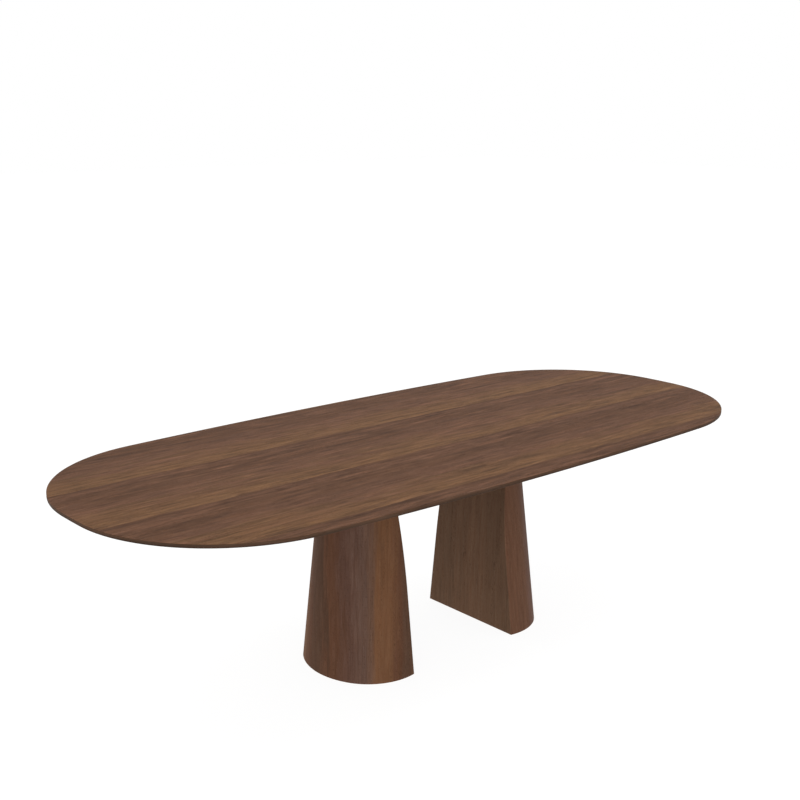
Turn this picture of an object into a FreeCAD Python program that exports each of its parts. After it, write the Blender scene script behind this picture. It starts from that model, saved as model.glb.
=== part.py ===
import FreeCAD, Part
import math
import os

# Dining table: an oblong bevelled top on two half-cone pedestals whose flat
# faces look at each other. Millimetres. +X along the length, +Z up, origin on
# the floor under the middle of the top.

# ---------------------------------------------------------------- dimensions
HEIGHT = 740.0            # floor to upper face of the top
LENGTH = 2600.0
WIDTH = 1130.0
SIDE_R = 14600.0          # bow of the long sides
CORNER_R = 495.0          # corners
TIP_R = 2600.0            # nearly flat tips
TOP_T = 28.0              # full thickness of the top
EDGE_T = 12.0             # edge that shows above the bevel
BEVEL_W = 70.0            # width of the bevel below
EDGE_EASE = 2.0           # rounding where edge and bevel meet
VENEER_T = 0.8            # veneer on both faces of the top
LIPPING_W = 80.0          # solid edge around the core board

RAIL_L, RAIL_W, RAIL_H, RAIL_T = 2000.0, 40.0, 15.0, 3.0   # stiffening channel
RAIL_Y = 270.0
RAIL_SCREW_X = (-900.0, -600.0, -300.0, 0.0, 300.0, 600.0, 900.0)

SKIRT_Z = 3.0             # lower edge of the pedestals above the floor
PED_END_R, PED_END_X = 252.0, 217.0    # end arc of a pedestal at the floor, and its centre
PED_SIDE_R = 190.0        # side arcs at the floor
PED_TURN = 30.0           # direction in which the end arc meets the side arcs
PED_TOP_R, PED_TOP_X = 136.5, 269.0    # circle that the three arcs have become at PED_H
PED_H = 715.0
FACE_X = 230.5            # inner face of a pedestal
FACE_Z = 272.0            # height where the inner face starts to lean away
FACE_R = 2326.0           # radius of that lean
SKIN_T = 0.6              # pedestal veneer
SHELL_T = 12.0            # bent plywood
PANEL_T = 18.0            # inner panel
BASE_Z0, BASE_Z1 = 17.0, 47.0    # base former
MID_Z0, MID_Z1 = 360.0, 378.0    # middle former
HEAD_Z0 = 672.0                  # underside of the top former
BATTEN_W, BATTEN_D = 30.0, 28.0
WEIGHT_T = 15.0           # ballast plate

PLATE_T = 8.0             # top plate
PLATE_X0, PLATE_X1 = 215.0, 465.0
PLATE_Y = 210.0
PLATE_R = 30.0
PLATE_GAP = 1.0
BOLTS = ((240.0, 170.0), (345.0, 180.0), (440.0, 170.0))
BOLT_R, BOLT_HEAD_R, BOLT_HEAD_H = 4.0, 9.0, 3.5
INSERT_R, INSERT_H = 6.2, 13.0
PLATE_SCREWS = ((310.0, 85.0), (310.0, -85.0), (312.0, 0.0),
                (350.0, 55.0), (350.0, -55.0), (378.0, 0.0))
WEIGHT_SCREWS = ((300.0, 90.0), (300.0, -90.0), (345.0, 0.0), (425.0, 0.0))

FEET = (("front_inner", 277.0, -172.0), ("back_inner", 277.0, 172.0),
        ("front_outer", 397.0, -110.0), ("back_outer", 397.0, 110.0))
PAD_R, HUB_R, HUB_Z = 20.0, 9.0, 10.5
BALL_R, BALL_Z = 5.5, 7.0
STUD_R, STUD_TOP = 4.0, 45.0
COLLAR_AF, COLLAR_Z0, COLLAR_Z1 = 13.0, 11.0, 15.0
RUN = 0.05                # running clearance of stud and ball, on the radius
NUT_R, NUT_TOP = 5.0, 33.0
NUT_FLANGE_R, NUT_FLANGE_T = 12.0, 1.5

os.makedirs("parts", exist_ok=True)
V = FreeCAD.Vector
Z = V(0, 0, 1)
TOP_Z0 = HEIGHT - TOP_T
EDGE_Z0 = HEIGHT - EDGE_T


def save(name, shape):
    solids = shape.Solids
    assert solids, name
    for s in solids:
        assert s.isValid() and s.Volume > 1.0, (name, s.isValid(), s.Volume)
    out = solids[0] if len(solids) == 1 else Part.makeCompound(solids)
    out.exportStep("parts/" + name + ".step")
    print("%-34s %2d solid(s) %12.1f mm3" % (name, len(solids), sum(s.Volume for s in solids)))


def cyl(r, z0, z1, x=0.0, y=0.0):
    return Part.makeCylinder(r, z1 - z0, V(x, y, z0), Z)


def turned(points):
    """Solid of revolution about Z from (radius, height) points."""
    w = Part.makePolygon([V(r, 0, z) for r, z in points] + [V(points[0][0], 0, points[0][1])])
    return Part.Face(w).revolve(V(0, 0, 0), Z, 360)


def moved(shape, x, y, z=0.0):
    s = shape.copy()
    s.translate(V(x, y, z))
    return s


def mirrored(shape):
    return shape.mirror(V(0, 0, 0), V(1, 0, 0))


def hexagon(af, z0, z1):
    r = af / math.sqrt(3.0)
    pts = [V(r * math.cos(math.radians(60 * i)), r * math.sin(math.radians(60 * i)), z0) for i in range(7)]
    return Part.Face(Part.makePolygon(pts)).extrude(V(0, 0, z1 - z0))


# ------------------------------------------------------- outline of the top
SIDE_C = (0.0, WIDTH / 2 - SIDE_R)
TIP_C = (LENGTH / 2 - TIP_R, 0.0)


def corner_centre():
    """Centre of the corner arc that runs smoothly into side and tip."""
    ra, rb = SIDE_R - CORNER_R, TIP_R - CORNER_R
    dx, dy = TIP_C[0] - SIDE_C[0], TIP_C[1] - SIDE_C[1]
    d = math.hypot(dx, dy)
    a = (ra * ra - rb * rb + d * d) / (2 * d)
    h = math.sqrt(ra * ra - a * a)
    mx, my = SIDE_C[0] + a * dx / d, SIDE_C[1] + a * dy / d
    both = ((mx + h * dy / d, my - h * dx / d), (mx - h * dy / d, my + h * dx / d))
    return max(both)


CORNER_C = corner_centre()
SIDE_A = math.atan2(CORNER_C[0] - SIDE_C[0], CORNER_C[1] - SIDE_C[1])
TIP_A = math.atan2(CORNER_C[1] - TIP_C[1], CORNER_C[0] - TIP_C[0])


def outline(inset, z):
    """Closed wire of the top's outline, moved inwards by inset."""
    def at(c, r, a, sx, sy):
        return V(sx * (c[0] + r * math.cos(a)), sy * (c[1] + r * math.sin(a)), z)

    rs, rc, rt = SIDE_R - inset, CORNER_R - inset, TIP_R - inset
    side_end = math.pi / 2 - SIDE_A

    def corner(sx, sy):
        p = (at(CORNER_C, rc, TIP_A, sx, sy), at(CORNER_C, rc, (TIP_A + side_end) / 2, sx, sy),
             at(CORNER_C, rc, side_end, sx, sy))
        return p

    edges = []

    def arc(a, b, c):
        edges.append(Part.Arc(a, b, c).toShape())

    c1, c2, c3, c4 = corner(1, 1), corner(-1, 1), corner(-1, -1), corner(1, -1)
    arc(*c1)
    arc(c1[2], V(0, SIDE_C[1] + rs, z), c2[2])
    arc(c2[2], c2[1], c2[0])
    arc(c2[0], V(-(TIP_C[0] + rt), 0, z), c3[0])
    arc(*c3)
    arc(c3[2], V(0, -(SIDE_C[1] + rs), z), c4[2])
    arc(c4[2], c4[1], c4[0])
    arc(c4[0], V(TIP_C[0] + rt, 0, z), c1[0])
    return Part.Wire(edges)


def board(inset, z0, z1):
    return Part.Face(outline(inset, z0)).extrude(V(0, 0, z1 - z0))


# ------------------------------------------------------------ edge lipping
LIP_Z1 = HEIGHT - VENEER_T
LIP_Z0 = TOP_Z0 + VENEER_T


def lip_section(origin_x):
    """Cross-section of the lipping in the XZ plane, its outer edge at origin_x."""
    rise = TOP_T - EDGE_T
    flat_d = BEVEL_W * (EDGE_Z0 - LIP_Z0) / rise
    n = math.hypot(BEVEL_W, rise)
    u2 = (BEVEL_W / n, -rise / n)
    half = math.acos(u2[1]) / 2
    t = EDGE_EASE / math.tan(half)
    bx, bz = u2[0], 1 + u2[1]
    bn = math.hypot(bx, bz)
    reach = EDGE_EASE / math.sin(half) - EDGE_EASE

    def p(d, z):
        return V(origin_x - d, 0, z)

    a, b = p(0, EDGE_Z0 + t), p(u2[0] * t, EDGE_Z0 + u2[1] * t)
    m = p(bx / bn * reach, EDGE_Z0 + bz / bn * reach)
    pts = [a, p(0, LIP_Z1), p(LIPPING_W, LIP_Z1), p(LIPPING_W, LIP_Z0), p(flat_d, LIP_Z0), b]
    edges = [Part.LineSegment(pts[i], pts[i + 1]).toShape() for i in range(5)]
    edges.append(Part.Arc(b, m, a).toShape())
    return Part.Face(Part.Wire(edges))


def swept(centre, radius, a0, a1):
    """Lipping along one arc of the outline, from angle a0 to a1."""
    f = lip_section(radius)
    s = f.revolve(V(0, 0, 0), Z, math.degrees(a1 - a0))
    s.rotate(V(0, 0, 0), Z, math.degrees(a0))
    s.translate(V(centre[0], centre[1], 0))
    return s


side_lip = swept(SIDE_C, SIDE_R, math.pi / 2 - SIDE_A, math.pi / 2 + SIDE_A)
end_lip = swept(CORNER_C, CORNER_R, TIP_A, math.pi / 2 - SIDE_A).fuse(swept(TIP_C, TIP_R, 0.0, TIP_A))
FLIP_Y = (V(0, 0, 0), V(0, 1, 0))
save("top_lipping_back", side_lip)
save("top_lipping_front", side_lip.mirror(*FLIP_Y))
save("top_lipping_back_right", end_lip)
save("top_lipping_front_right", end_lip.mirror(*FLIP_Y))
save("top_lipping_back_left", mirrored(end_lip))
save("top_lipping_front_left", mirrored(end_lip.mirror(*FLIP_Y)))


# ------------------------------------------------- fittings under the top
def plate_shape(grow, z0, z1):
    """Rounded rectangle of a top plate, or its pocket when grown."""
    x0, x1, y, r = PLATE_X0 - grow, PLATE_X1 + grow, PLATE_Y + grow, PLATE_R + grow
    b = Part.makeBox(x1 - x0, 2 * y, z1 - z0, V(x0, -y, z0))
    return b.makeFillet(r, [e for e in b.Edges if abs(e.Vertexes[0].Z - e.Vertexes[1].Z) > 1.0])


def both_y(points):
    return [(x, s * y) for x, y in points for s in (-1, 1)]


PLATE_Z1 = TOP_Z0 + PLATE_T
pocket = plate_shape(PLATE_GAP, TOP_Z0 - 1.0, PLATE_Z1)
pockets = [pocket, mirrored(pocket)]


def bolt():
    b = cyl(BOLT_HEAD_R, -BOLT_HEAD_H, 0).fuse(cyl(BOLT_R, 0, PLATE_T + INSERT_H - 1.0))
    b = b.cut(hexagon(5.0, -BOLT_HEAD_H - 1.0, -BOLT_HEAD_H + 2.4))
    rim = [e for e in b.Edges if abs(e.BoundBox.ZMin + BOLT_HEAD_H) < 1e-6
           and abs(e.BoundBox.ZMax + BOLT_HEAD_H) < 1e-6 and e.BoundBox.XLength > 2 * BOLT_HEAD_R - 0.1]
    return b.makeFillet(1.0, rim)


def insert():
    return cyl(INSERT_R, 0, INSERT_H).cut(cyl(BOLT_R, -1, INSERT_H + 1))


BOLT, INSERT = bolt(), insert()
right_bolts = [moved(BOLT, x, y, TOP_Z0) for x, y in both_y(BOLTS)]
right_inserts = [moved(INSERT, x, y, PLATE_Z1) for x, y in both_y(BOLTS)]
inserts = right_inserts + [mirrored(s) for s in right_inserts]
insert_holes = [cyl(INSERT_R, PLATE_Z1 - 0.5, PLATE_Z1 + INSERT_H, sx * x, y)
                for sx in (1, -1) for x, y in both_y(BOLTS)]
save("top_threaded_inserts", Part.makeCompound(inserts))


def rail(y):
    """Open channel let into the underside, web uppermost."""
    x0 = -RAIL_L / 2
    s = Part.makeBox(RAIL_L, RAIL_W, RAIL_H, V(x0, y - RAIL_W / 2, TOP_Z0))
    s = s.cut(Part.makeBox(RAIL_L + 2, RAIL_W - 2 * RAIL_T, RAIL_H - RAIL_T,
                           V(x0 - 1, y - RAIL_W / 2 + RAIL_T, TOP_Z0)))
    for x in RAIL_SCREW_X:
        s = s.cut(cyl(2.5, TOP_Z0, TOP_Z0 + RAIL_H + 1, x, y))
    return s


def rail_screw():
    head = turned([(0, -2.6), (3.2, -2.6), (4.6, -1.7), (5.0, -0.6), (5.0, 0), (0, 0)])
    s = head.fuse(cyl(2.5, 0, 10.0)).fuse(Part.makeCone(2.5, 0.6, 4.0, V(0, 0, 10.0), Z))
    for a in (0, 90):
        slot = Part.makeBox(5.0, 1.0, 1.7, V(-2.5, -0.5, -3.0))
        slot.rotate(V(0, 0, 0), Z, a)
        s = s.cut(slot)
    return s


WEB_Z = TOP_Z0 + RAIL_H - RAIL_T
RAIL_SCREW = rail_screw()
rail_screws = [moved(RAIL_SCREW, x, s * RAIL_Y, WEB_Z) for s in (-1, 1) for x in RAIL_SCREW_X]
save("top_stiffener_front", rail(-RAIL_Y))
save("top_stiffener_back", rail(RAIL_Y))
save("top_stiffener_screws", Part.makeCompound(rail_screws))

grooves = [Part.makeBox(RAIL_L, RAIL_W, RAIL_H + 1.0, V(-RAIL_L / 2, s * RAIL_Y - RAIL_W / 2, TOP_Z0 - 1.0))
           for s in (-1, 1)]

core = board(LIPPING_W, LIP_Z0, LIP_Z1).cut(Part.makeCompound(pockets + grooves))
core = core.cut(Part.makeCompound(insert_holes)).cut(Part.makeCompound(rail_screws))
save("top_core", core)
save("top_face_veneer", board(0.0, LIP_Z1, HEIGHT))
save("top_backing_veneer", board(BEVEL_W, TOP_Z0, LIP_Z0).cut(Part.makeCompound(pockets + grooves)))

# ---------------------------------------------------------------- pedestal
TURN = math.radians(PED_TURN)
LAST = math.radians(125.0)       # the side arcs run on past the inner face
SLOPE = 1.006                    # level thickness of the sloping wall over its true one


def arcs(z, inset):
    """Centres and radii of the end arc and of a side arc at height z, moved inwards by inset."""
    t = z / PED_H
    end_r = PED_END_R + (PED_TOP_R - PED_END_R) * t
    side_r = PED_SIDE_R + (PED_TOP_R - PED_SIDE_R) * t
    end_x = PED_END_X + (PED_TOP_X - PED_END_X) * t
    side_x = end_x + (end_r - side_r) * math.cos(TURN)
    side_y = (end_r - side_r) * math.sin(TURN)
    return end_x, end_r - inset * SLOPE, side_x, side_y, side_r - inset * SLOPE


def cone(inset, z0=SKIRT_Z, z1=TOP_Z0):
    """Tapered body of a pedestal from z0 to z1, its curved side moved inwards by inset."""
    def section(z):
        end_x, end_r, side_x, side_y, side_r = arcs(z, inset)

        def end(a):
            return V(end_x + end_r * math.cos(a), end_r * math.sin(a), z)

        def side(a, sign):
            return V(side_x + side_r * math.cos(a), sign * (side_y + side_r * math.sin(a)), z)

        mid = (TURN + LAST) / 2
        return Part.Wire([Part.Arc(side(LAST, -1), side(mid, -1), end(-TURN)).toShape(),
                          Part.Arc(end(-TURN), end(0.0), end(TURN)).toShape(),
                          Part.Arc(end(TURN), side(mid, 1), side(LAST, 1)).toShape(),
                          Part.LineSegment(side(LAST, 1), side(LAST, -1)).toShape()])

    return Part.makeLoft([section(z0), section(z1)], True, True)


def behind(inset):
    """Everything on the pedestal's side of its inner face, moved in by inset."""
    cx, r = FACE_X + FACE_R, FACE_R - inset

    def on(z):
        return V(cx - math.sqrt(r * r - (z - FACE_Z) ** 2), -500, z)

    top, low, far = 790.0, -80.0, 900.0
    pts = [V(FACE_X + inset, -500, low), on(FACE_Z)]
    edges = [Part.LineSegment(pts[0], pts[1]).toShape(),
             Part.Arc(pts[1], on((FACE_Z + top) / 2), on(top)).toShape(),
             Part.LineSegment(on(top), V(far, -500, top)).toShape(),
             Part.LineSegment(V(far, -500, top), V(far, -500, low)).toShape(),
             Part.LineSegment(V(far, -500, low), pts[0]).toShape()]
    return Part.Face(Part.Wire(edges)).extrude(V(0, 1000, 0))


cone_0, cone_skin, cone_in = cone(0.0), cone(SKIN_T), cone(SKIN_T + SHELL_T)
face_0, face_skin, face_in = behind(0.0), behind(SKIN_T), behind(SKIN_T + PANEL_T)

panel_veneer = cone_0.common(face_0).cut(face_skin)
shell_veneer = cone_0.common(face_skin).cut(cone_skin)
panel = cone_skin.common(face_skin).cut(face_in)
shell = cone_skin.common(face_in).cut(cone_in)


def inside(z0, z1):
    """The room between shell and inner panel."""
    return cone(SKIN_T + SHELL_T, z0, z1).common(face_in)


def half_chord(z):
    """Half the width of the hollow where it meets the inner panel."""
    _, _, x, y, r = arcs(z, SKIN_T + SHELL_T)
    f = FACE_X + SKIN_T + PANEL_T + max(0.0, z - FACE_Z) ** 2 / (2 * FACE_R)
    return y + math.sqrt(r * r - (f - x) ** 2)


def batten(sign):
    a, b = half_chord(BASE_Z1) - BATTEN_W, half_chord(HEAD_Z0) - BATTEN_W
    pts = [V(0, sign * a, BASE_Z1), V(0, sign * 420, BASE_Z1), V(0, sign * 420, HEAD_Z0), V(0, sign * b, HEAD_Z0)]
    wedge = Part.Face(Part.makePolygon(pts + pts[:1])).extrude(V(900, 0, 0))
    strip = inside(BASE_Z1, HEAD_Z0).cut(behind(SKIN_T + PANEL_T + BATTEN_D))
    return strip.common(wedge)


def csk_screw(head_r, head_h, shank_r, length, tip):
    s = turned([(0, 0), (head_r, 0), (shank_r, -head_h), (shank_r, -(length - tip)), (0.5, -length), (0, -length)])
    for a in (0, 90):
        slot = Part.makeBox(head_r, 1.0, 2.0, V(-head_r / 2, -0.5, -1.6))
        slot.rotate(V(0, 0, 0), Z, a)
        s = s.cut(slot)
    return s


def csk_plug(head_r, head_h, shank_r, length, tip):
    """Room that a countersunk screw takes up."""
    return turned([(0, 0), (head_r, 0), (shank_r, -head_h), (shank_r, -(length - tip)), (0.5, -length), (0, -length)])


PLATE_SCREW = (6.0, 3.5, 3.0, 40.0, 6.0)
WEIGHT_SCREW = (6.0, 3.5, 3.0, 35.0, 6.0)
WEIGHT_Z1 = BASE_Z1 + WEIGHT_T
plate_screws = [moved(csk_screw(*PLATE_SCREW), x, y, PLATE_Z1) for x, y in PLATE_SCREWS]
plate_plugs = Part.makeCompound([moved(csk_plug(*PLATE_SCREW), x, y, PLATE_Z1) for x, y in PLATE_SCREWS])
weight_screws = [moved(csk_screw(*WEIGHT_SCREW), x, y, WEIGHT_Z1) for x, y in WEIGHT_SCREWS]
weight_plugs = Part.makeCompound([moved(csk_plug(*WEIGHT_SCREW), x, y, WEIGHT_Z1) for x, y in WEIGHT_SCREWS])

batten_front, batten_back = batten(-1), batten(1)
base = inside(BASE_Z0, BASE_Z1)
base = base.cut(Part.makeCompound([cyl(NUT_R, BASE_Z0 - 1, BASE_Z1 + 1, x, y) for _, x, y in FEET])).cut(weight_plugs)
middle = inside(MID_Z0, MID_Z1).cut(batten_front).cut(batten_back)
head = inside(HEAD_Z0, TOP_Z0).cut(plate_plugs)
weight = cone(SKIN_T + SHELL_T + 8.0, BASE_Z1, WEIGHT_Z1).common(behind(SKIN_T + PANEL_T + 8.0))
weight = weight.common(Part.makeBox(900, 316, 200, V(0, -158, 0))).cut(weight_plugs)

plate = plate_shape(0.0, TOP_Z0, PLATE_Z1).cut(plate_plugs)
plate = plate.cut(Part.makeCompound([cyl(BOLT_R + 0.5, TOP_Z0 - 1, PLATE_Z1 + 1, x, y) for x, y in both_y(BOLTS)]))

tnut = cyl(NUT_FLANGE_R, BASE_Z0 - NUT_FLANGE_T, BASE_Z0).fuse(cyl(NUT_R, BASE_Z0, NUT_TOP))
tnut = tnut.cut(cyl(STUD_R + RUN, BASE_Z0 - 5, NUT_TOP + 1))

# levelling foot: the stud's ball end is captive in the pad's socket
pad = turned([(0, 0), (PAD_R - 1.2, 0), (PAD_R, 1.2), (PAD_R, 3.0), (HUB_R + 2.0, 5.4), (HUB_R, 6.4),
              (HUB_R, HUB_Z - 0.8), (HUB_R - 0.8, HUB_Z), (0, HUB_Z)])
pad = pad.cut(Part.makeSphere(BALL_R + RUN, V(0, 0, BALL_Z)))
stud = Part.makeSphere(BALL_R, V(0, 0, BALL_Z)).fuse(cyl(STUD_R, BALL_Z, STUD_TOP))
stud = stud.fuse(hexagon(COLLAR_AF, COLLAR_Z0, COLLAR_Z1))

pieces = {
    "pedestal_shell_veneer": shell_veneer,
    "pedestal_shell": shell,
    "pedestal_panel_veneer": panel_veneer,
    "pedestal_inner_panel": panel,
    "pedestal_base_former": base,
    "pedestal_middle_former": middle,
    "pedestal_top_former": head,
    "pedestal_batten_front": batten_front,
    "pedestal_batten_back": batten_back,
    "base_weight": weight,
    "base_weight_screws": Part.makeCompound(weight_screws),
    "top_plate": plate,
    "top_plate_screws": Part.makeCompound(plate_screws),
    "top_plate_bolts": Part.makeCompound(right_bolts),
    "foot_nuts": Part.makeCompound([moved(tnut, x, y) for _, x, y in FEET]),
}
for label, x, y in FEET:
    pieces["foot_pad_" + label] = moved(pad, x, y)
    pieces["foot_stud_" + label] = moved(stud, x, y)
for name, shape in pieces.items():
    save("right_" + name, shape)
    save("left_" + name, mirrored(shape))
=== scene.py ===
import math

import bmesh
import bpy
import numpy as np
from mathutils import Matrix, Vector


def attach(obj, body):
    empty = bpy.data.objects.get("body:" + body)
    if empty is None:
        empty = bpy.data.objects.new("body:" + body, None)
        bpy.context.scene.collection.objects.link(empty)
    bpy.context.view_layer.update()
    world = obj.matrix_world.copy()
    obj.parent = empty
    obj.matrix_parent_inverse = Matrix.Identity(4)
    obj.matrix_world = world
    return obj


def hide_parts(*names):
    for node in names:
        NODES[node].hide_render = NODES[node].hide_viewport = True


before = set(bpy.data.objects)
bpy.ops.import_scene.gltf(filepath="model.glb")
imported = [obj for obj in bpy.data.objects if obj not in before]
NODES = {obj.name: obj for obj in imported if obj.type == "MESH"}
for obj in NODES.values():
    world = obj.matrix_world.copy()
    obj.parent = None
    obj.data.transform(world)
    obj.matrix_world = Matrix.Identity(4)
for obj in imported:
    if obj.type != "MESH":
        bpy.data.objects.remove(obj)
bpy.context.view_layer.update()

MM = 0.001


# --------------------------------------------------------------- node helper
def srgb(r, g, b, gain=1.0):
    """Linear colour from 8-bit sRGB values."""
    out = []
    for v in (r, g, b):
        v = v / 255.0
        out.append((v / 12.92 if v <= 0.04045 else ((v + 0.055) / 1.055) ** 2.4) * gain)
    return (out[0], out[1], out[2], 1.0)


class Tree:
    """A material with a Principled shader and short calls for its nodes."""

    def __init__(self, name):
        self.mat = bpy.data.materials.new(name)
        self.mat.use_nodes = True
        self.nt = self.mat.node_tree
        self.nt.nodes.clear()
        self.out = self.nt.nodes.new("ShaderNodeOutputMaterial")
        self.bsdf = self.nt.nodes.new("ShaderNodeBsdfPrincipled")
        self.nt.links.new(self.bsdf.outputs["BSDF"], self.out.inputs["Surface"])

    def put(self, socket, value):
        if isinstance(value, bpy.types.NodeSocket):
            self.nt.links.new(value, socket)
        else:
            socket.default_value = value

    def set(self, **values):
        for name, value in values.items():
            self.put(self.bsdf.inputs[name.replace("_", " ")], value)

    def object_xyz(self):
        n = self.nt.nodes.new("ShaderNodeTexCoord")
        return self.split(n.outputs["Object"])

    def object_normal(self):
        n = self.nt.nodes.new("ShaderNodeTexCoord")
        return self.split(n.outputs["Normal"])

    def attribute(self, name, output):
        n = self.nt.nodes.new("ShaderNodeAttribute")
        n.attribute_type = "GEOMETRY"
        n.attribute_name = name
        return n.outputs[output]

    def split(self, v):
        n = self.nt.nodes.new("ShaderNodeSeparateXYZ")
        self.put(n.inputs[0], v)
        return n.outputs[0], n.outputs[1], n.outputs[2]

    def vec(self, x, y, z):
        n = self.nt.nodes.new("ShaderNodeCombineXYZ")
        for i, v in enumerate((x, y, z)):
            self.put(n.inputs[i], v)
        return n.outputs[0]

    def math(self, op, a, b=None, c=None, clamp=False):
        n = self.nt.nodes.new("ShaderNodeMath")
        n.operation = op
        n.use_clamp = clamp
        for i, v in enumerate((a, b, c)):
            if v is not None:
                self.put(n.inputs[i], v)
        return n.outputs[0]

    def add(self, *terms):
        total = terms[0]
        for t in terms[1:]:
            total = self.math("ADD", total, t)
        return total

    def mul(self, a, b):
        return self.math("MULTIPLY", a, b)

    def off(self, a, k):
        """k times how far a noise value is from its middle."""
        return self.math("MULTIPLY_ADD", a, 2.0 * k, -k)

    def noise(self, v, detail=2.0, rough=0.5, distortion=0.0):
        n = self.nt.nodes.new("ShaderNodeTexNoise")
        n.noise_dimensions = "3D"
        n.normalize = True
        self.put(n.inputs["Vector"], v)
        n.inputs["Scale"].default_value = 1.0
        n.inputs["Detail"].default_value = detail
        n.inputs["Roughness"].default_value = rough
        n.inputs["Distortion"].default_value = distortion
        return n.outputs[0]

    def cells(self, v, randomness=1.0, feature="F1"):
        n = self.nt.nodes.new("ShaderNodeTexVoronoi")
        n.feature = feature
        self.put(n.inputs["Vector"], v)
        n.inputs["Scale"].default_value = 1.0
        n.inputs["Randomness"].default_value = randomness
        return n.outputs

    def range(self, v, a, b, c=0.0, d=1.0, smooth=True):
        n = self.nt.nodes.new("ShaderNodeMapRange")
        n.interpolation_type = "SMOOTHSTEP" if smooth else "LINEAR"
        n.clamp = True
        self.put(n.inputs["Value"], v)
        for name, value in (("From Min", a), ("From Max", b), ("To Min", c), ("To Max", d)):
            self.put(n.inputs[name], value)
        return n.outputs[0]

    def ramp(self, fac, stops, interpolation="EASE"):
        n = self.nt.nodes.new("ShaderNodeValToRGB")
        r = n.color_ramp
        r.interpolation = interpolation
        while len(r.elements) < len(stops):
            r.elements.new(0.5)
        for e, (p, col) in zip(r.elements, stops):
            e.position = p
            e.color = col
        self.put(n.inputs[0], fac)
        return n.outputs[0]

    def mix(self, fac, a, b, blend="MIX"):
        n = self.nt.nodes.new("ShaderNodeMix")
        n.data_type = "RGBA"
        n.blend_type = blend
        n.clamp_factor = True
        self.put(n.inputs[0], fac)
        self.put(n.inputs[6], a)
        self.put(n.inputs[7], b)
        return n.outputs[2]

    def grey(self, v):
        n = self.nt.nodes.new("ShaderNodeCombineColor")
        for i in range(3):
            self.put(n.inputs[i], v)
        return n.outputs[0]

    def times(self, colour, value):
        """Colour scaled by a value."""
        return self.mix(1.0, colour, self.grey(value), "MULTIPLY")

    def bump(self, height, strength, distance):
        n = self.nt.nodes.new("ShaderNodeBump")
        n.inputs["Strength"].default_value = strength
        n.inputs["Distance"].default_value = distance
        self.put(n.inputs["Height"], height)
        self.put(self.bsdf.inputs["Normal"], n.outputs[0])


# ------------------------------------------------------------------- walnut
GOLD, AMBER, PLUM, UMBER = (103, 74, 50), (97, 69, 48), (93, 65, 49), (84, 58, 42)
HONEY, RUSSET, OLIVE, MAUVE, SMOKE, SAND = (114, 80, 57), (99, 68, 51), (89, 65, 51), (97, 71, 60), (103, 79, 68), (108, 81, 66)
CEDAR = (100, 71, 55)
# TAWNY and FAWN are a lighter walnut for the inner faces: painted light that makes up for the shade those faces stand
# in.
TAWNY, FAWN = (108, 82, 64), (102, 78, 61)
# The darkest edge colour is painted shade for the lower part of the edge band.
EDGE_PAINTED_SHADE, EDGE_HIGH, EDGE_PALE = (66, 51, 41), (84, 63, 50), (92, 66, 50)


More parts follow.
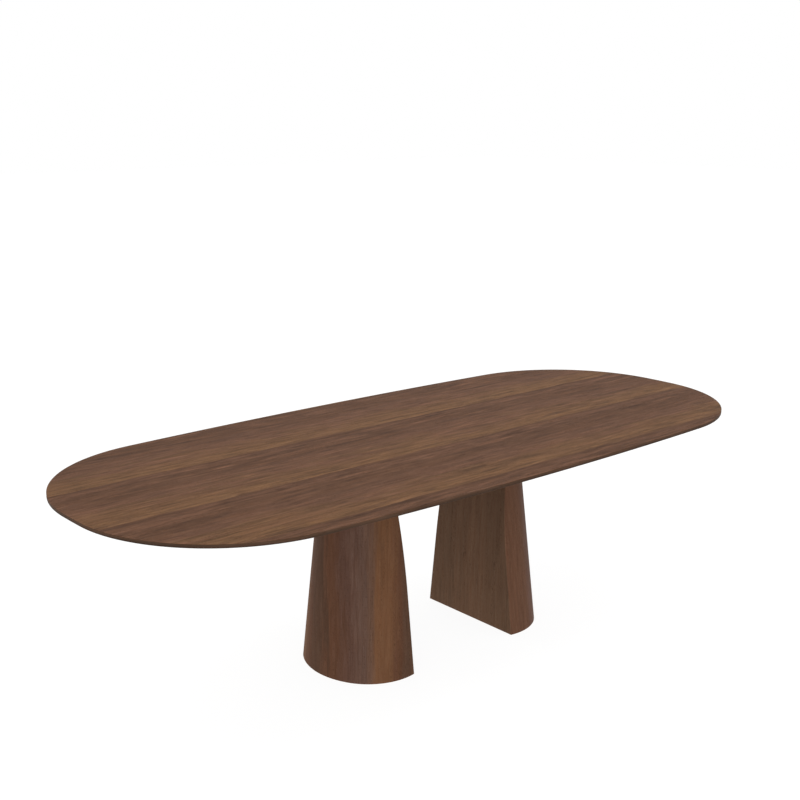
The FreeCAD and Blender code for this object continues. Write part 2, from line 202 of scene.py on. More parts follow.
def walnut(name, zones, gain=1.0, leaf=0.348, seam=0.0, seed=0.0, coords="grain", spread=1.0,
           streak=1.0, seam_dark=0.88, jitter=0.02, soft=0.02, mottle=0.0, rough=0.55, specular=0.03, edge_wear_and_highlight=0.0, bump=0.2):
    """Veneered walnut. The across direction is divided into slip-matched leaves, and zones is the run of
    colours over one leaf. Coordinates are metres: along the grain, across it, and depth."""
    t = Tree(name)
    if coords == "grain":
        a, c, d = t.split(t.attribute("grain", "Vector"))
    else:
        a, c, d = t.object_xyz()
    ragged = t.noise(t.vec(t.mul(a, 5.0), t.mul(c, 70.0), seed + 31.0), 3.0, 0.6)
    q = t.add(t.math("DIVIDE", t.math("SUBTRACT", c, seam), leaf), t.off(ragged, jitter * 2.0))
    number = t.math("FLOOR", q)
    s = t.math("FRACT", q)
    local = t.mul(s, leaf)
    kin = t.math("MULTIPLY_ADD", number, 0.16, seed)        # neighbours look alike
    own = t.math("MULTIPLY_ADD", number, 3.7, seed * 1.7)   # fine detail is each leaf's own

    def at(fa, fc, z, across=None):
        return t.vec(t.mul(a, fa), t.mul(local if across is None else across, fc), z)

    figure = t.noise(at(1.9, 3.4, kin), 2.0, 0.5)
    drift = t.noise(at(0.9, 1.1, own), 1.0, 0.5)
    sway = t.noise(at(2.6, 5.0, t.math("ADD", kin, 9.0)), 2.0, 0.5)
    line = t.add(local, t.off(sway, 0.006))                  # streaks sway a little
    broad = t.noise(at(2.7, 34.0, kin, line), 3.0, 0.55)
    dash = t.noise(at(6.5, 95.0, t.math("ADD", own, 4.0), line), 3.0, 0.6)
    fine = t.noise(at(15.0, 330.0, t.math("ADD", own, 7.0), line), 2.0, 0.6)
    hair = t.noise(at(55.0, 1700.0, t.math("ADD", own, 11.0), line), 1.0, 0.5)
    pore_cells = t.noise(at(110.0, 2600.0, t.math("ADD", own, 15.0), line), 0.0, 0.5)
    pore_field = t.noise(at(3.0, 60.0, t.math("ADD", own, 21.0), line), 2.0, 0.5)
    pore = t.mul(t.range(pore_cells, 0.60, 0.70), t.range(pore_field, 0.35, 0.65, 0.25, 1.0))

    wander = t.add(t.off(figure, 0.17 * spread), t.off(broad, 0.20 * spread), t.off(dash, 0.14 * spread))
    value = t.add(t.off(drift, 0.05), t.off(broad, 0.18 * streak), t.off(dash, 0.30 * streak),
                  t.off(fine, 0.22 * streak), t.off(hair, 0.14 * streak), 1.0)
    if mottle:                                               # short feathered dashes and small clouds
        cloud = t.noise(at(4.5, 9.0, t.math("ADD", own, 19.0)), 2.0, 0.55)
        fleck = t.noise(at(4.6, 48.0, t.math("ADD", own, 13.0), line), 3.0, 0.62)
        mote = t.noise(at(7.5, 92.0, t.math("ADD", own, 17.0), line), 3.0, 0.62)
        vein = t.range(t.noise(at(3.0, 70.0, t.math("ADD", own, 23.0), line), 2.0, 0.55), 0.57, 0.68)
        silk = t.range(t.noise(at(5.0, 100.0, t.math("ADD", own, 27.0), line), 2.0, 0.55), 0.57, 0.70)
        thread = t.noise(at(0.8, 210.0, t.math("ADD", own, 35.0), line), 2.0, 0.6)   # long thin lines
        wander = t.add(wander, t.off(cloud, 0.16 * mottle), t.off(fleck, 0.24 * mottle))
        value = t.add(value, t.off(fleck, 0.28 * mottle), t.off(mote, 0.50 * mottle), t.off(fine, 0.14 * mottle),
                      t.mul(vein, -0.15 * mottle), t.mul(silk, 0.15 * mottle), t.off(thread, 0.24))
    calm = t.mul(t.range(s, 0.0, soft), t.range(s, 1.0 - soft, 1.0, 1.0, 0.0))   # colours meet at the joints
    place = t.math("MULTIPLY_ADD", wander, calm, s)
    colour = t.ramp(place, [(p, srgb(*rgb, gain)) for p, rgb in zones])
    joint = t.math("MULTIPLY", t.range(s, 0.93, 0.985), t.range(ragged, 0.4, 0.6, 0.2, 1.0))
    value = t.mul(value, t.math("MULTIPLY_ADD", joint, seam_dark - 1.0, 1.0))
    value = t.mul(value, t.math("MULTIPLY_ADD", pore, -0.34, 1.0))
    warm = t.mix(t.range(fine, 0.3, 0.7), srgb(255, 249, 244), srgb(250, 253, 255))
    colour = t.mix(1.0, t.times(colour, value), warm, "MULTIPLY")
    # Lighter arrises where the edge attribute is set: edge wear, and also a painted highlight standing for the light
    # line along the corners.
    if edge_wear_and_highlight:
        edge = t.attribute("edge", "Fac")
        worn = t.mul(edge, t.range(dash, 0.35, 0.65, 0.15, 1.0))
        colour = t.mix(t.mul(worn, edge_wear_and_highlight), colour, srgb(146, 110, 86, gain))
    t.put(t.bsdf.inputs["Base Color"], colour)
    t.put(t.bsdf.inputs["Roughness"],
          t.add(t.off(fine, 0.05), t.off(broad, 0.04), t.mul(pore, 0.18), rough))
    t.bsdf.inputs["Specular IOR Level"].default_value = specular
    t.bsdf.inputs["IOR"].default_value = 1.46
    height = t.add(t.mul(fine, 0.45), t.mul(hair, 0.35), t.mul(pore, -0.9))
    t.bump(height, bump, 0.0003)
    return t.mat


TOP_ZONES = [(0.00, AMBER), (0.03, GOLD), (0.22, AMBER), (0.46, PLUM), (0.68, UMBER), (0.80, UMBER), (0.93, PLUM), (1.00, UMBER)]
BASE_ZONES = [(0.00, SAND), (0.06, HONEY), (0.20, HONEY), (0.30, RUSSET), (0.42, OLIVE), (0.50, OLIVE), (0.63, RUSSET), (0.78, MAUVE), (0.92, SMOKE), (1.00, SAND)]
PAIR_ZONES = [(0.00, SAND), (0.06, HONEY), (0.20, HONEY), (0.36, CEDAR), (0.70, CEDAR), (0.89, MAUVE), (0.96, SMOKE), (1.00, SAND)]
# Lighter than the wraps' zones: painted light against the shade on the inner faces.
FACE_ZONES = [(0.00, FAWN), (0.46, TAWNY), (0.60, TAWNY), (0.76, FAWN), (1.00, FAWN)]
# Over the edge band these zones run by height, so the band's lower part gets the painted shade colour.
EDGE_ZONES = [(0.00, EDGE_PAINTED_SHADE), (0.16, EDGE_PAINTED_SHADE), (0.27, EDGE_HIGH), (0.55, EDGE_PALE), (0.80, EDGE_HIGH), (1.00, EDGE_PALE)]

MAT_TOP = walnut("walnut_top", TOP_ZONES, 1.04, seam=0.207, seed=2.3, jitter=0.025, mottle=1.28, seam_dark=0.84, edge_wear_and_highlight=0.2)
MAT_EDGE = walnut("walnut_edge", EDGE_ZONES, leaf=0.11, seam=0.71, seed=8.1, spread=0.25, seam_dark=1.0, bump=0.25)
MAT_BACKING = walnut("walnut_backing", TOP_ZONES, 0.9, leaf=0.24, seam=0.07, seed=5.6, coords="object", mottle=0.7, rough=0.6)
MAT_WRAP_L = walnut("walnut_wrap_left", BASE_ZONES, leaf=0.37, seam=0.084, seed=3.4, seam_dark=0.97, soft=0.14, edge_wear_and_highlight=0.4, spread=0.6, streak=0.95)
MAT_WRAP_R = walnut("walnut_wrap_right", PAIR_ZONES, 1.03, leaf=0.37, seam=0.138, seed=6.2, seam_dark=0.97, soft=0.14, edge_wear_and_highlight=0.4, spread=0.6, streak=0.95)
MAT_FACE_L = walnut("walnut_face_left", FACE_ZONES, seam=-0.150, seed=1.2, edge_wear_and_highlight=0.5, streak=0.85)
MAT_FACE_R = walnut("walnut_face_right", FACE_ZONES, seam=-0.150, seed=7.9, edge_wear_and_highlight=0.5, streak=0.85)


# ---------------------------------------------------------- other materials
def fibreboard():
    t = Tree("core_board")
    x, y, z = t.object_xyz()
    p = t.vec(x, y, z)
    big = t.noise(t.vec(t.mul(x, 9.0), t.mul(y, 9.0), t.mul(z, 9.0)), 3.0, 0.6)
    fibre = t.noise(t.vec(t.mul(x, 420.0), t.mul(y, 420.0), t.mul(z, 1300.0)), 3.0, 0.65)
    chip = t.cells(t.vec(t.mul(x, 900.0), t.mul(y, 900.0), t.mul(z, 1800.0)))[0]
    core = t.ramp(fibre, [(0.25, srgb(134, 102, 70)), (0.5, srgb(166, 131, 93)), (0.75, srgb(189, 155, 114))])
    value = t.add(t.off(big, 0.07), t.off(chip, 0.08), 1.0)
    t.put(t.bsdf.inputs["Base Color"], t.times(core, value))
    t.put(t.bsdf.inputs["Roughness"], t.add(t.off(fibre, 0.06), 0.82))
    t.bsdf.inputs["Specular IOR Level"].default_value = 0.2
    t.bump(t.add(fibre, t.mul(chip, 0.6)), 0.35, 0.0004)
    return t.mat


def plywood(name, layers, along, across):
    """Birch plywood. layers picks the direction through the plies: z, x or the cone's own normal."""
    t = Tree(name)
    x, y, z = t.object_xyz()
    axes = {"x": x, "y": y, "z": z}
    if layers == "cone":
        r = t.math("SQRT", t.add(t.math("POWER", t.math("SUBTRACT", t.math("ABSOLUTE", x), t.math("MULTIPLY_ADD", z, 0.021, 0.257)), 2.0),
                                 t.math("POWER", y, 2.0)))
        through = t.math("MULTIPLY_ADD", z, 0.1175, r)
    elif layers == "x":
        through = t.math("ABSOLUTE", x)
    else:
        through = z
    wob = t.noise(t.vec(t.mul(x, 14.0), t.mul(y, 14.0), t.mul(z, 14.0)), 1.0, 0.5)
    ply = t.math("DIVIDE", t.add(through, t.off(wob, 0.00025)), 0.0017)
    nx, ny, nz = t.object_normal()
    if layers == "cone":
        cut = t.range(t.math("ABSOLUTE", nz), 0.5, 0.8)
    else:
        cut = t.range(t.math("ABSOLUTE", nx if layers == "x" else nz), 0.5, 0.8, 1.0, 0.0)
    # the plies show on the cut edges, and the broad faces are one plain veneer
    odd = t.mul(t.range(t.math("PINGPONG", ply, 1.0), 0.42, 0.58), cut)
    glue = t.mul(t.range(t.math("ABSOLUTE", t.math("SUBTRACT", t.math("PINGPONG", ply, 1.0), 0.5)), 0.0, 0.07, 1.0, 0.0), cut)
    grain = t.noise(t.vec(t.mul(axes[along], 8.0), t.mul(axes[across], 220.0), t.mul(through, 240.0)), 3.0, 0.6)
    hair = t.noise(t.vec(t.mul(axes[along], 60.0), t.mul(axes[across], 1500.0), t.mul(through, 900.0)), 2.0, 0.6)
    pale = t.ramp(grain, [(0.2, srgb(182, 146, 103)), (0.5, srgb(205, 173, 129)), (0.8, srgb(220, 192, 150))])
    dark = t.ramp(hair, [(0.2, srgb(139, 101, 66)), (0.8, srgb(176, 136, 94))])
    colour = t.mix(t.mul(odd, 0.8), pale, dark)
    colour = t.mix(t.mul(glue, 0.75), colour, srgb(84, 56, 38))
    t.put(t.bsdf.inputs["Base Color"], t.times(colour, t.add(t.off(hair, 0.08), 1.0)))
    t.put(t.bsdf.inputs["Roughness"], t.add(t.off(hair, 0.06), t.mul(odd, 0.08), 0.62))
    t.bsdf.inputs["Specular IOR Level"].default_value = 0.3
    t.bump(t.add(t.mul(hair, 0.6), t.mul(odd, -0.5)), 0.3, 0.0003)
    return t.mat


def beech():
    t = Tree("beech_batten")
    x, y, z = t.object_xyz()
    ring = t.noise(t.vec(t.mul(x, 90.0), t.mul(y, 90.0), t.mul(z, 2.0)), 3.0, 0.55)
    hair = t.noise(t.vec(t.mul(x, 1200.0), t.mul(y, 1200.0), t.mul(z, 60.0)), 2.0, 0.6)
    fleck = t.range(t.noise(t.vec(t.mul(x, 900.0), t.mul(y, 1400.0), t.mul(z, 320.0)), 0.0, 0.5), 0.64, 0.72)
    colour = t.ramp(ring, [(0.25, srgb(186, 141, 104)), (0.5, srgb(206, 165, 126)), (0.75, srgb(219, 183, 146))])
    colour = t.mix(t.mul(fleck, 0.6), colour, srgb(150, 101, 68))
    t.put(t.bsdf.inputs["Base Color"], t.times(colour, t.add(t.off(hair, 0.07), 1.0)))
    t.put(t.bsdf.inputs["Roughness"], t.add(t.off(hair, 0.08), t.mul(fleck, -0.1), 0.6))
    t.bsdf.inputs["Specular IOR Level"].default_value = 0.3
    t.bump(t.add(hair, t.mul(fleck, -0.4)), 0.25, 0.0003)
    return t.mat


def powder_coat():
    t = Tree("black_steel")
    x, y, z = t.object_xyz()
    peel = t.noise(t.vec(t.mul(x, 700.0), t.mul(y, 700.0), t.mul(z, 700.0)), 2.0, 0.55)
    cloud = t.noise(t.vec(t.mul(x, 16.0), t.mul(y, 16.0), t.mul(z, 16.0)), 4.0, 0.6)
    dust = t.range(t.noise(t.vec(t.mul(x, 2600.0), t.mul(y, 2600.0), t.mul(z, 2600.0)), 1.0, 0.5), 0.66, 0.74)
    colour = t.ramp(cloud, [(0.25, srgb(25, 25, 26)), (0.75, srgb(37, 37, 38))])
    t.put(t.bsdf.inputs["Base Color"], t.mix(t.mul(dust, 0.35), colour, srgb(84, 83, 80)))
    t.put(t.bsdf.inputs["Roughness"], t.add(t.off(cloud, 0.05), t.off(peel, 0.08), 0.52))
    t.bsdf.inputs["Specular IOR Level"].default_value = 0.45
    t.bump(peel, 0.3, 0.0002)
    return t.mat


def metal(name, light, dark, rough, scale, scratch=0.4):
    t = Tree(name)
    x, y, z = t.object_xyz()
    cloud = t.noise(t.vec(t.mul(x, scale), t.mul(y, scale), t.mul(z, scale)), 3.0, 0.6)
    grit = t.noise(t.vec(t.mul(x, scale * 22.0), t.mul(y, scale * 22.0), t.mul(z, scale * 22.0)), 2.0, 0.6)
    turned = t.noise(t.vec(t.mul(x, scale * 2.0), t.mul(y, scale * 2.0), t.mul(z, scale * 60.0)), 2.0, 0.6)
    worn = t.range(t.add(t.mul(cloud, 0.6), t.mul(grit, 0.4)), 0.42, 0.62)
    colour = t.mix(worn, srgb(*dark), srgb(*light))
    t.put(t.bsdf.inputs["Base Color"], t.times(colour, t.add(t.off(turned, 0.10), 1.0)))
    t.put(t.bsdf.inputs["Roughness"], t.add(t.off(cloud, 0.10), t.off(turned, 0.08), rough))
    t.bsdf.inputs["Metallic"].default_value = 1.0
    t.bump(t.add(t.mul(grit, 0.6), t.mul(turned, scratch)), 0.2, 0.0001)
    return t.mat


def nylon():
    t = Tree("foot_nylon")
    x, y, z = t.object_xyz()
    mould = t.noise(t.vec(t.mul(x, 1800.0), t.mul(y, 1800.0), t.mul(z, 1800.0)), 2.0, 0.6)
    flow = t.noise(t.vec(t.mul(x, 60.0), t.mul(y, 60.0), t.mul(z, 110.0)), 3.0, 0.6)
    scuff = t.mul(t.range(z, 0.0, 0.0022, 1.0, 0.0), t.range(mould, 0.4, 0.65))
    colour = t.ramp(flow, [(0.3, srgb(44, 43, 42)), (0.7, srgb(58, 57, 55))])
    t.put(t.bsdf.inputs["Base Color"], t.mix(t.mul(scuff, 0.5), colour, srgb(118, 114, 108)))
    t.put(t.bsdf.inputs["Roughness"], t.add(t.off(mould, 0.08), t.mul(scuff, 0.2), 0.5))
    t.bsdf.inputs["Specular IOR Level"].default_value = 0.4
    t.bump(mould, 0.3, 0.0002)
    return t.mat


FINISH = {
    "core": fibreboard(),
    "ply_z": plywood("plywood_flat", "z", "y", "x"),
    "ply_x": plywood("plywood_panel", "x", "z", "y"),
    "ply_cone": plywood("plywood_bent", "cone", "z", "y"),
    "beech": beech(),
    "steel": powder_coat(),
    "bolt": metal("black_bolt", (46, 46, 48), (24, 24, 25), 0.42, 120.0),
    "zinc": metal("zinc_steel", (206, 209, 212), (158, 163, 168), 0.34, 160.0),
    "brass": metal("insert_brass", (214, 178, 104), (168, 130, 66), 0.32, 160.0),
    "nylon": nylon(),
    "backing": MAT_BACKING,
    "top": MAT_TOP,
    "edge": MAT_EDGE,
}
ENDINGS = (
    ("top_core", "core"), ("top_backing_veneer", "backing"), ("top_face_veneer", "top"),
    ("pedestal_shell_veneer", "top"), ("pedestal_panel_veneer", "top"),
    ("pedestal_shell", "ply_cone"), ("pedestal_inner_panel", "ply_x"), ("_former", "ply_z"),
    ("batten_front", "beech"), ("batten_back", "beech"), ("_weight", "steel"), ("top_plate", "steel"),
    ("stiffener_front", "steel"), ("stiffener_back", "steel"), ("_bolts", "bolt"), ("_screws", "zinc"),
    ("foot_nuts", "zinc"), ("threaded_inserts", "brass"),
)
for name, ob in NODES.items():
    if "foot_pad" in name:
        key = "nylon"
    elif "foot_stud" in name:
        key = "zinc"
    elif "lipping" in name:
        key = "edge"
    else:
        key = next(k for end, k in ENDINGS if name.endswith(end))
    ob.data.materials.clear()
    ob.data.materials.append(FINISH[key])


# ------------------------------------------------------------ mesh assembly
def piece(name, node, mat, verts, faces, grain, edge, sharp=32.0):
    """A closed mesh in millimetres that stands for a node of the table's body."""
    bm = bmesh.new()
    made = [bm.verts.new((v[0] * MM, v[1] * MM, v[2] * MM)) for v in verts]
    bm.verts.ensure_lookup_table()
    for f in faces:
        bm.faces.new([made[i] for i in f])
    bmesh.ops.recalc_face_normals(bm, faces=bm.faces[:])
    me = bpy.data.meshes.new(name)
    bm.to_mesh(me)
    bm.free()
    g = me.attributes.new("grain", "FLOAT_VECTOR", "POINT")
    g.data.foreach_set("vector", (np.asarray(grain, np.float32) * np.float32(MM)).ravel())
    e = me.attributes.new("edge", "FLOAT", "POINT")
    e.data.foreach_set("value", np.asarray(edge, np.float32))
    me.polygons.foreach_set("use_smooth", [True] * len(me.polygons))
    me.set_sharp_from_angle(angle=math.radians(sharp))
    me.materials.append(mat)
    ob = bpy.data.objects.new(name, me)
    bpy.context.scene.collection.objects.link(ob)
    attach(ob, "table")
    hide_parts(node)
    return ob


# ---------------------------------------------------------------- table top
HEIGHT, LENGTH, WIDTH = 740.0, 2600.0, 1130.0
SIDE_R, CORNER_R, TIP_R = 14600.0, 495.0, 2600.0
TOP_T, EDGE_T, BEVEL_W, EDGE_EASE = 28.0, 12.0, 70.0, 2.0
VENEER_T, LIPPING_W, VENEER_EASE = 0.8, 80.0, 0.6
LIP_Z1, LIP_Z0 = HEIGHT - VENEER_T, HEIGHT - TOP_T + VENEER_T
EDGE_Z0 = HEIGHT - EDGE_T

SIDE_C = (0.0, WIDTH / 2 - SIDE_R)
TIP_C = (LENGTH / 2 - TIP_R, 0.0)


def corner_centre():
    """Centre of the corner arc that runs smoothly into side and tip."""
    ra, rb = SIDE_R - CORNER_R, TIP_R - CORNER_R
    dx, dy = TIP_C[0] - SIDE_C[0], TIP_C[1] - SIDE_C[1]
    d = math.hypot(dx, dy)
    a = (ra * ra - rb * rb + d * d) / (2 * d)
    h = math.sqrt(ra * ra - a * a)
    mx, my = SIDE_C[0] + a * dx / d, SIDE_C[1] + a * dy / d
    return max((mx + h * dy / d, my - h * dx / d), (mx - h * dy / d, my + h * dx / d))


CORNER_C = corner_centre()
SIDE_A = math.atan2(CORNER_C[0] - SIDE_C[0], CORNER_C[1] - SIDE_C[1])
TIP_A = math.atan2(CORNER_C[1] - TIP_C[1], CORNER_C[0] - TIP_C[0])
SIDE_END = math.pi / 2 - SIDE_A

TIP_ARC = [(TIP_C, TIP_R, a) for a in np.linspace(0.0, TIP_A, 11)]
CORNER_ARC = [(CORNER_C, CORNER_R, a) for a in np.linspace(TIP_A, SIDE_END, 49)]
SIDE_ARC = [(SIDE_C, SIDE_R, a) for a in np.linspace(SIDE_END, math.pi / 2, 25)]
QUARTER = TIP_ARC + CORNER_ARC[1:] + SIDE_ARC[1:]


def on_arc(stop, inset):
    (cx, cy), r, a = stop
    return cx + (r - inset) * math.cos(a), cy + (r - inset) * math.sin(a)


def ring(inset):
    """Closed outline of the top moved inwards, counter-clockwise from the right tip."""
    q = [on_arc(s, inset) for s in QUARTER]
    back = q + [(-x, y) for x, y in q[-2::-1]]
    return back + [(x, -y) for x, y in back[-2:0:-1]]


def face_veneer():
    verts, grain, edge, faces = [], [], [], []
    count = len(ring(0.0))
    half = (count + 2) // 2

    def add_ring(inset, z, worn):
        first = len(verts)
        for x, y in ring(inset):
            verts.append((x, y, z))
            grain.append((x, y, HEIGHT - z))
            edge.append(worn)
        return first

    def stitch(p, q):
        for i in range(count):
            j = (i + 1) % count
            faces.append((p + i, p + j, q + j, q + i))

    def fill(p):
        """Closes the innermost ring with strips from its back half to its front half."""
        for i in range(1, half - 2):
            faces.append((p + i, p + i + 1, p + count - i - 1, p + count - i))
        faces.append((p, p + 1, p + count - 1))
        faces.append((p + half - 2, p + half - 1, p + half))

    e = VENEER_EASE
    # The third value sets the edge attribute, so the eased rim is lightened: wear with a painted highlight.
    rows = [(0.0, LIP_Z1, 0.5), (0.0, HEIGHT - e, 0.8)]
    for k in range(1, 5):
        w = math.radians(22.5 * k)
        rows.append((e * (1 - math.cos(w)), HEIGHT - e + e * math.sin(w), 1.0 if k < 4 else 0.6))
    rows += [(2.2, HEIGHT, 0.0), (12.0, HEIGHT, 0.0), (60.0, HEIGHT, 0.0), (150.0, HEIGHT, 0.0),
             (250.0, HEIGHT, 0.0), (350.0, HEIGHT, 0.0), (440.0, HEIGHT, 0.0), (485.0, HEIGHT, 0.0)]
    starts = [add_ring(*r) for r in rows]
    for p, q in zip(starts, starts[1:]):
        stitch(p, q)
    fill(starts[-1])
    below = [add_ring(d, LIP_Z1, 0.0) for d in (150.0, 350.0, 485.0)]
    for p, q in zip([starts[0]] + below, below):
        stitch(p, q)
    fill(below[-1])
    return piece("top_veneer_sheet", "top_face_veneer", MAT_TOP, verts, faces, grain, edge)


def lip_section():
    """Outline of the solid edge: distance inwards and height, from the upper outer corner round."""
    rise = TOP_T - EDGE_T
    flat_d = BEVEL_W * (EDGE_Z0 - LIP_Z0) / rise
    n = math.hypot(BEVEL_W, rise)
    ux, uz = BEVEL_W / n, -rise / n
    half = math.acos(uz) / 2
    reach = EDGE_EASE / math.tan(half)
    bx, bz = ux, 1 + uz
    bn = math.hypot(bx, bz)
    far = EDGE_EASE / math.sin(half)
    cx, cz = bx / bn * far, EDGE_Z0 + bz / bn * far
    start = math.atan2(EDGE_Z0 + reach - cz, 0.0 - cx)
    stop = math.atan2(EDGE_Z0 + uz * reach - cz, ux * reach - cx)
    if stop < start:
        stop += 2 * math.pi
    pts = [(0.0, LIP_Z1), (0.0, LIP_Z1 - 1.0), (0.0, EDGE_Z0 + reach + 1.5)]
    for k in range(8):
        a = start + (stop - start) * k / 7
        pts.append((cx + EDGE_EASE * math.cos(a), cz + EDGE_EASE * math.sin(a)))
    for d in (4.0, 20.0, 45.0, flat_d - 1.5, flat_d):
        pts.append((d, EDGE_Z0 - rise * d / BEVEL_W))
    pts += [(flat_d + 1.5, LIP_Z0), (LIPPING_W, LIP_Z0), (LIPPING_W, LIP_Z1), (LIPPING_W / 2, LIP_Z1)]
    return pts


LIP = lip_section()


def lipping(name, stops, sx, sy, shift):
    """Solid edge swept along part of the outline."""
    verts, grain, edge, faces = [], [], [], []
    n = len(LIP)
    run = 0.0
    for i, stop in enumerate(stops):
        if i:
            x0, y0 = on_arc(stops[i - 1], 0.0)
            x1, y1 = on_arc(stop, 0.0)
            run += math.hypot(x1 - x0, y1 - y0)
        for d, z in LIP:
            x, y = on_arc(stop, d)
            verts.append((sx * x, sy * y, z))
            grain.append((run + shift, z + 0.75 * d, d))
            edge.append(0.0)
    for i in range(len(stops) - 1):
        for j in range(n):
            k = (j + 1) % n
            faces.append((i * n + j, i * n + k, (i + 1) * n + k, (i + 1) * n + j))
    last = (len(stops) - 1) * n
    faces.append(tuple(range(n)))
    faces.append(tuple(last + j for j in range(n)))
    return piece("top_edge_" + name, "top_lipping_" + name, MAT_EDGE, verts, faces, grain, edge, 40.0)


face_veneer()
SIDE_FULL = [(SIDE_C, SIDE_R, a) for a in np.linspace(SIDE_END, math.pi - SIDE_END, 65)]
END_HALF = CORNER_ARC[::-1] + TIP_ARC[-2::-1]
lipping("back", SIDE_FULL, 1, 1, 0.0)
lipping("front", SIDE_FULL, 1, -1, 2300.0)
lipping("back_right", END_HALF, 1, 1, 4700.0)
lipping("front_right", END_HALF, 1, -1, 6100.0)
lipping("back_left", END_HALF, -1, 1, 7900.0)
lipping("front_left", END_HALF, -1, -1, 9400.0)

# ---------------------------------------------------------------- pedestals
SKIRT_Z, HEAD_Z = 3.0, HEIGHT - TOP_T
PED_END_R, PED_END_X, PED_SIDE_R, TURN = 252.0, 217.0, 190.0, math.radians(30.0)
PED_TOP_R, PED_TOP_X, PED_H, SLOPE = 136.5, 269.0, 715.0, 1.006
FACE_X, FACE_Z, FACE_R = 230.5, 272.0, 2326.0
SKIN_T, SKIN_EASE = 0.6, 0.45
MEAN_R0, MEAN_R1 = 220.0, 136.0                   # round cone that the veneer is unrolled from
TAPER = (MEAN_R0 - MEAN_R1) / PED_H
SIN_A = TAPER / math.sqrt(1 + TAPER * TAPER)


def on_cone(theta, z, inset):
    """x, y and the mean radius at height z, theta the direction that the side faces there."""
    t = z / PED_H
    end_r = PED_END_R + (PED_TOP_R - PED_END_R) * t
    side_r = PED_SIDE_R + (PED_TOP_R - PED_SIDE_R) * t
    x, y, r = PED_END_X + (PED_TOP_X - PED_END_X) * t, 0.0, end_r
    if abs(theta) > TURN:                         # a side arc takes over from the end arc
        x += (end_r - side_r) * math.cos(TURN)
        y += (end_r - side_r) * math.sin(math.copysign(TURN, theta))
        r = side_r
    r -= inset * SLOPE
    return x + r * math.cos(theta), y + r * math.sin(theta), MEAN_R0 + (MEAN_R1 - MEAN_R0) * t


def face_x(z, inset):
    if z <= FACE_Z:
        return FACE_X + inset
    return FACE_X + FACE_R - math.sqrt((FACE_R - inset) ** 2 - (z - FACE_Z) ** 2)


def corner_theta(z, x, inset):
    """Angle where the cone reaches the plane at x."""
    lo, hi = math.radians(30), math.radians(150)
    for _ in range(60):
        mid = (lo + hi) / 2
        if on_cone(mid, z, inset)[0] > x:
            lo = mid
        else:
            hi = mid
    return (lo + hi) / 2


def ease_rows(z0, r, steps):
    """Heights and insets of a rounded lower edge."""
    rows = []
    for k in range(steps + 1):
        w = math.radians(90 - 90 * k / steps)
        rows.append((z0 + r * (1 - math.sin(w)), r * (1 - math.cos(w)), 1.0))
    return rows


ROWS = ease_rows(SKIRT_Z, SKIN_EASE, 4) + [(5.0, 0.0, 0.0)] + [(z, 0.0, 0.0) for z in np.linspace(20.0, HEAD_Z, 46)]


def developed(theta, r, home):
    """Place on the unrolled cone: along the grain and across it, measured from the generator at home."""
    rho = r / SIN_A
    phi = (theta - home) * SIN_A
    return 1900.0 - rho * math.cos(phi), rho * math.sin(phi)


def wrap(side, mat, shift):
    """Veneer round the curved side: one wide sheet and one narrow one, each laid to its own middle."""
    sx = 1 if side == "right" else -1
    wide = -1 if side == "right" else 1           # the wide sheet faces the back on the right, the front on the left
    verts, grain, edge, faces = [], [], [], []
    split = math.radians(-40.0)
    seat = (math.radians(30.0), math.radians(-68.5))
    cut, gap = -split * wide, math.radians(0.02)  # the joint between the sheets is a hairline
    cols = (90, 38) if cut > 0 else (38, 90)

    def row(z, inset, worn, deep):
        first = len(verts)
        end = corner_theta(z, face_x(z, SKIN_T), inset)
        near = 1.2 / 180.0
        spots = [-end, -end + near] + list(np.linspace(-end, cut - gap, cols[0])[1:])
        spots += list(np.linspace(cut + gap, end, cols[1])[:-1]) + [end - near, end]
        for j, th in enumerate(spots):
            x, y, r = on_cone(th, z, inset)
            front = -th * wide                    # angle towards the wide sheet's side
            verts.append((sx * x, y, z))
            if front >= split:
                al, ac = developed(front, r, seat[0])
            else:
                al, ac = developed(front, r, seat[1])
                al, ac = al + 900.0, ac + 59.5
            grain.append((al + shift, ac, deep))
            # The corner columns are lightened: wear with a painted highlight along the corner edge.
            edge.append(max(worn, 0.55 if j in (0, len(spots) - 1) else 0.0))
        return first, len(spots)

    outer, n = zip(*[row(z, i, w, 0.0) for z, i, w in ROWS])
    inner, _ = zip(*[row(z, SKIN_T, 0.0, SKIN_T) for z, i, w in ROWS])
    n = n[0]
    for p, q, flip in [(a, b, False) for a, b in zip(outer, outer[1:])] + [(a, b, True) for a, b in zip(inner, inner[1:])]:
        for j in range(n - 1):
            f = (p + j, p + j + 1, q + j + 1, q + j)
            faces.append(f[::-1] if flip else f)
    for j in range(n - 1):
        faces.append((outer[0] + j, inner[0] + j, inner[0] + j + 1, outer[0] + j + 1))
        faces.append((outer[-1] + j, outer[-1] + j + 1, inner[-1] + j + 1, inner[-1] + j))
    for i in range(len(ROWS) - 1):
        faces.append((outer[i], outer[i + 1], inner[i + 1], inner[i]))
        faces.append((outer[i] + n - 1, inner[i] + n - 1, inner[i + 1] + n - 1, outer[i + 1] + n - 1))
    return piece(side + "_pedestal_wrap", side + "_pedestal_shell_veneer", mat,
                 verts, faces, grain, edge)


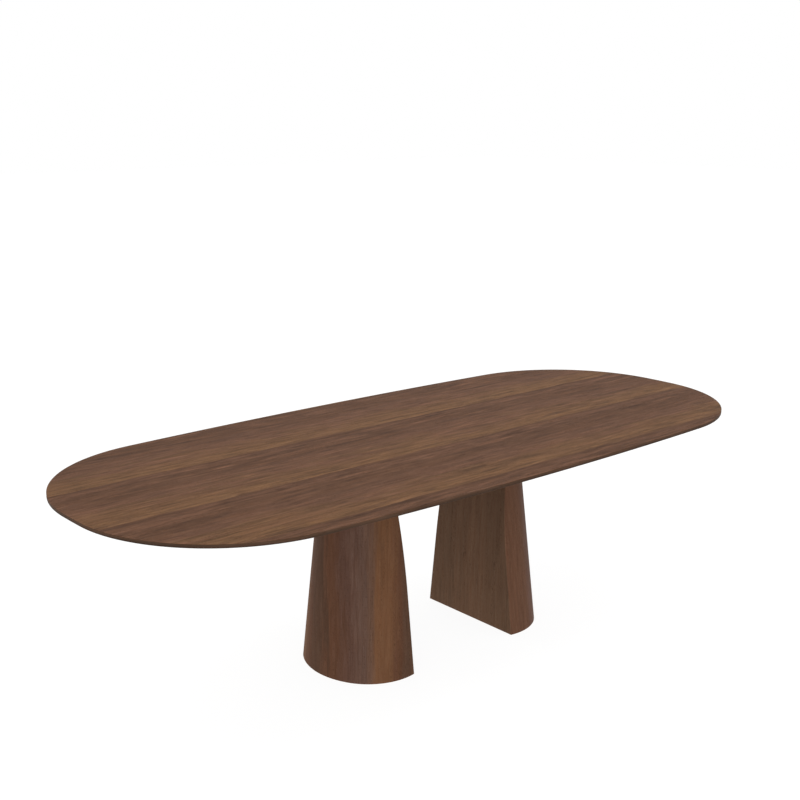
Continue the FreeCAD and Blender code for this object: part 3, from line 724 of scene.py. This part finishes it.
def inner_face(side, mat, shift):
    """Veneer of the face that looks across the leg space, with eased corners."""
    sx = 1 if side == "right" else -1
    turn = -1.0 if side == "right" else 1.0
    verts, grain, edge, faces = [], [], [], []
    cols = 33
    starts = []
    loop = None
    for z, e0, worn in ROWS:
        def half_width(e):
            x = face_x(z, e)
            return x, float(on_cone(corner_theta(z, x, 0.0), z, 0.0)[1])

        r = min(SKIN_EASE, SKIN_T - e0 - 0.06)
        x0, y0 = half_width(e0)
        flat = y0 - r
        front = [(x0, -flat, 0.6), (x0, -flat + 1.5, 0.0)]
        front += [(x0, f * flat, 0.0) for f in np.linspace(-1, 1, cols)[1:-1]]
        front += [(x0, flat - 1.5, 0.0), (x0, flat, 0.6)]
        bend = []
        for k in range(1, 5):
            w = math.radians(22.5 * k)
            x, y = half_width(e0 + r * (1 - math.cos(w)))
            bend.append((x, y - r * (1 - math.sin(w)), 1.0))
        xb, yb = half_width(SKIN_T)
        back = [(xb, yb * f / flat, 0.0) for f in [p[1] for p in front][::-1]]
        back[0], back[-1] = (xb, yb, 0.6), (xb, -yb, 0.6)
        pts = front + bend + back + [(x, -y, w) for x, y, w in bend[::-1]]
        loop = (len(front), len(bend), len(back))
        starts.append(len(verts))
        for x, y, w in pts:
            verts.append((sx * x, y, z))
            grain.append((z + shift, turn * y, x - FACE_X))
            # The eased corners are lightened, wear with a painted highlight; the rounded bottom rows are lightened
            # too.
            edge.append(max(w, worn if x < xb - 1e-6 else 0.0))
    total = len(verts) // len(starts)
    for p, q in zip(starts, starts[1:]):
        for j in range(total):
            k = (j + 1) % total
            faces.append((p + j, p + k, q + k, q + j))
    nf, nb, nk = loop
    for p in (starts[0], starts[-1]):
        for j in range(nf - 1):
            faces.append((p + j, p + j + 1, p + nf + nb + nk - 2 - j, p + nf + nb + nk - 1 - j))
        faces.append(tuple(range(p + nf - 1, p + nf + nb + 1)))
        faces.append(tuple([p + nf + nb + nk - 1 + j for j in range(nb + 1)] + [p]))
    return piece(side + "_pedestal_face", side + "_pedestal_panel_veneer", mat,
                 verts, faces, grain, edge)


wrap("left", MAT_WRAP_L, 0.0)
wrap("right", MAT_WRAP_R, 1400.0)
inner_face("left", MAT_FACE_L, 300.0)
inner_face("right", MAT_FACE_R, 2100.0)


# ------------------------------------------------------- floor, light, camera
def floor():
    me = bpy.data.meshes.new("floor")
    bm = bmesh.new()
    bmesh.ops.create_grid(bm, x_segments=8, y_segments=8, size=30.0)
    bm.to_mesh(me)
    bm.free()
    t = Tree("pale_floor")
    x, y, z = t.object_xyz()
    cloud = t.noise(t.vec(t.mul(x, 0.8), t.mul(y, 0.8), z), 3.0, 0.5)
    t.put(t.bsdf.inputs["Base Color"], t.ramp(cloud, [(0.3, (0.135, 0.135, 0.135, 1)), (0.7, (0.15, 0.15, 0.15, 1))]))
    t.bsdf.inputs["Roughness"].default_value = 0.9
    t.bsdf.inputs["Specular IOR Level"].default_value = 0.0
    t.bsdf.inputs["Emission Color"].default_value = (1.0, 1.0, 1.0, 1.0)
    t.bsdf.inputs["Emission Strength"].default_value = 0.92
    me.materials.append(t.mat)
    ob = bpy.data.objects.new("floor", me)
    ob.location = (0.0, 0.0, -0.0002)
    bpy.context.scene.collection.objects.link(ob)


def area(name, place, aim, size, power):
    data = bpy.data.lights.new(name, "AREA")
    data.shape = "RECTANGLE"
    data.size, data.size_y = size
    data.energy = power
    ob = bpy.data.objects.new(name, data)
    ob.location = place
    ob.rotation_mode = "QUATERNION"
    ob.rotation_quaternion = (Vector(aim) - Vector(place)).to_track_quat("-Z", "Y")
    bpy.context.scene.collection.objects.link(ob)


floor()
area("overhead", (0.0, 0.0, 4.2), (0.0, 0.0, 0.7), (5.0, 3.5), 60.0)

world = bpy.data.worlds.new("studio")
world.use_nodes = True
world.node_tree.nodes["Background"].inputs["Color"].default_value = (1.0, 1.0, 1.0, 1.0)
world.node_tree.nodes["Background"].inputs["Strength"].default_value = 1.0
bpy.context.scene.world = world
bpy.context.scene.view_settings.view_transform = "Standard"
bpy.context.scene.view_settings.look = "None"

AZIMUTH, ELEVATION = math.radians(-40.705), math.radians(13.785)
TARGET, DISTANCE = Vector((0.905845, 1.176818, 0.5)), 5.590981
FOCAL_PX = 1191.605
back = Vector((math.sin(AZIMUTH) * math.cos(ELEVATION), -math.cos(AZIMUTH) * math.cos(ELEVATION), math.sin(ELEVATION)))
cam = bpy.data.cameras.new("camera")
cam.sensor_fit = "HORIZONTAL"
cam.sensor_width = 36.0
cam.lens = FOCAL_PX / 800.0 * 36.0
cam.clip_start, cam.clip_end = 0.05, 200.0
eye = bpy.data.objects.new("camera", cam)
eye.location = TARGET + back * DISTANCE
eye.rotation_mode = "QUATERNION"
eye.rotation_quaternion = (-back).to_track_quat("-Z", "Y")
bpy.context.scene.collection.objects.link(eye)
bpy.context.scene.camera = eye
